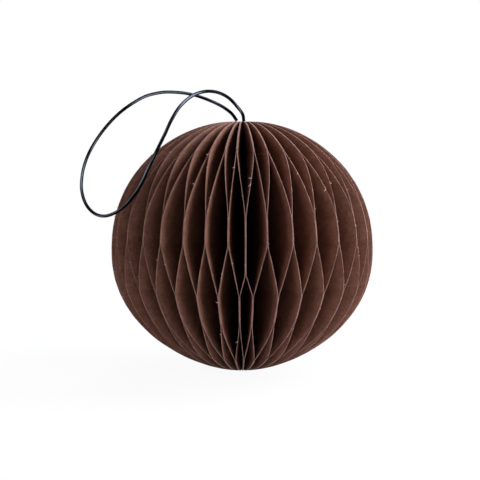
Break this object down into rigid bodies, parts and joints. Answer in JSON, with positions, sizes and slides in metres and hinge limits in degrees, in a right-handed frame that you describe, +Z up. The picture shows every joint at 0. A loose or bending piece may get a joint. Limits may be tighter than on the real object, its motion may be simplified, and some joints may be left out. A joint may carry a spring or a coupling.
{
  "type": "paper ball ornament",
  "caption": "Honeycomb ball of dark brown card sheets, glued in alternating lines, bound at a spine and opened all round, with a loop of black cord to hang it by.",
  "frame": {"origin": "middle of the ball, on its spine, halfway between its top and its bottom", "axes": "+Z up along the spine towards the cord, -Y towards the side that the picture shows, +X to the viewer's right"},
  "size_m": [0.0897, 0.0799, 0.0856],
  "materials": {
    "card": "matte",
    "cord": "satin"
  },
  "bodies": {
    "root": {"paper_ball": "card", "hanging_cord": "cord"}
  },
  "joints": []
}
